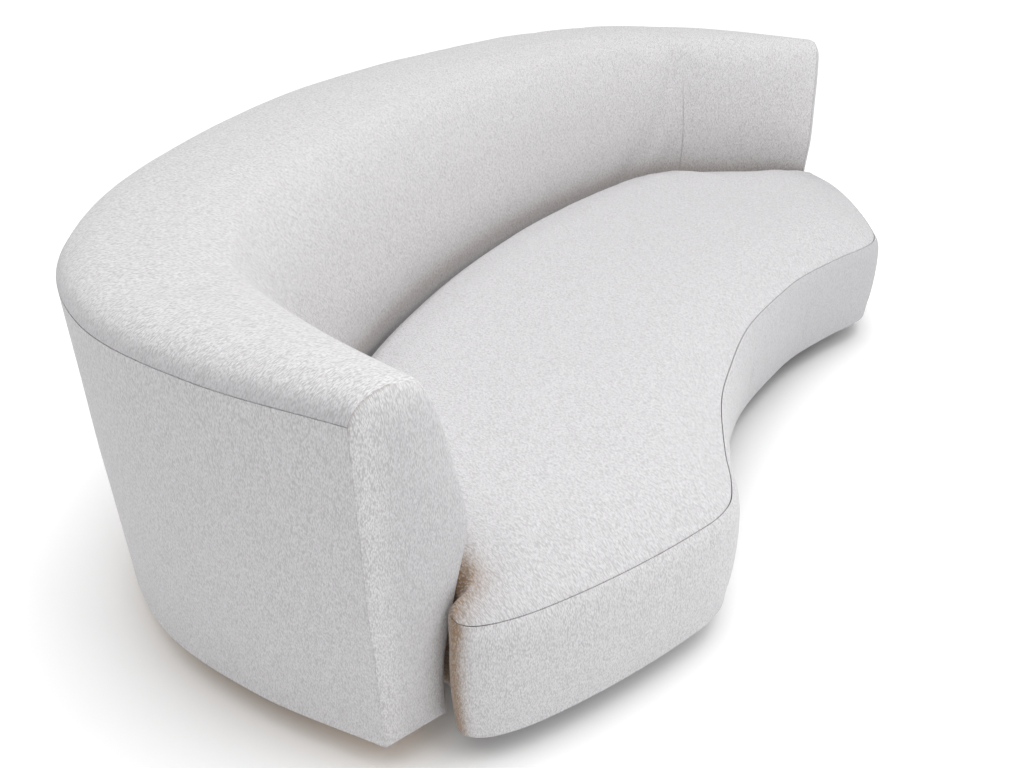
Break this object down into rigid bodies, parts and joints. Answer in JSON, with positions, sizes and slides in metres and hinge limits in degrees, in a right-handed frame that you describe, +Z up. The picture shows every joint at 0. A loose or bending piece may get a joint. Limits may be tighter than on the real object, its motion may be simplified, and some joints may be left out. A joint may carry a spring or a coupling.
{
  "type": "curved sofa",
  "caption": "Curved sofa with a kidney-shaped crowned seat and one continuous padded back that wraps round into the arms, in ivory ribbed chenille, on low recessed feet.",
  "frame": {"origin": "on the floor, under the middle of the sofa's overall box", "axes": "+Z up, the sofa faces -Y, +X to its left-hand side as one sits on it"},
  "size_m": [2.7252, 1.5727, 0.7753],
  "materials": {
    "chenille": "ivory chenille with short irregular ribs",
    "foam": "upholstery foam",
    "fibreboard": "bent hardboard",
    "timber": "planed softwood",
    "plywood": "plywood",
    "dust_cloth": "black non-woven cloth",
    "zinc_steel": "zinc plated",
    "stained_wood": "dark stain",
    "nylon": "moulded nylon"
  },
  "bodies": {
    "root": {"seat_cover": "chenille", "seat_border": "chenille", "seat_border_back": "chenille", "border_board": "fibreboard", "seat_foam": "foam", "seat_deck": "plywood", "front_rail": "plywood", "rear_rail": "plywood", "cross_beam_1": "timber", "cross_beam_2": "timber", "cross_beam_3": "timber", "cross_beam_4": "timber", "cross_beam_5": "timber", "dust_cover": "dust_cloth", "inner_cover_left_arm": "chenille", "outer_cover_left_arm": "chenille", "inner_cover_centre": "chenille", "outer_cover_centre": "chenille", "inner_cover_right_arm": "chenille", "outer_cover_right_arm": "chenille", "end_cap_left": "chenille", "end_cap_right": "chenille", "back_foam_left_arm": "foam", "back_foam_centre": "foam", "back_foam_right_arm": "foam", "inner_board": "fibreboard", "outer_board": "fibreboard", "back_top_plate": "plywood", "back_base_plate": "plywood", "back_rib_1": "plywood", "back_rib_2": "plywood", "back_rib_3": "plywood", "back_rib_4": "plywood", "back_rib_5": "plywood", "back_rib_6": "plywood", "back_rib_7": "plywood", "joining_plate_1": "zinc_steel", "plate_bolt_seat_1": "zinc_steel", "plate_bolt_back_1": "zinc_steel", "joining_plate_2": "zinc_steel", "plate_bolt_seat_2": "zinc_steel", "plate_bolt_back_2": "zinc_steel", "joining_plate_3": "zinc_steel", "plate_bolt_seat_3": "zinc_steel", "plate_bolt_back_3": "zinc_steel", "joining_plate_4": "zinc_steel", "plate_bolt_seat_4": "zinc_steel", "plate_bolt_back_4": "zinc_steel", "foot_1": "stained_wood", "glide_1": "nylon", "foot_2": "stained_wood", "glide_2": "nylon", "foot_3": "stained_wood", "glide_3": "nylon", "foot_4": "stained_wood", "glide_4": "nylon", "foot_5": "stained_wood", "glide_5": "nylon", "foot_6": "stained_wood", "glide_6": "nylon"}
  },
  "joints": []
}
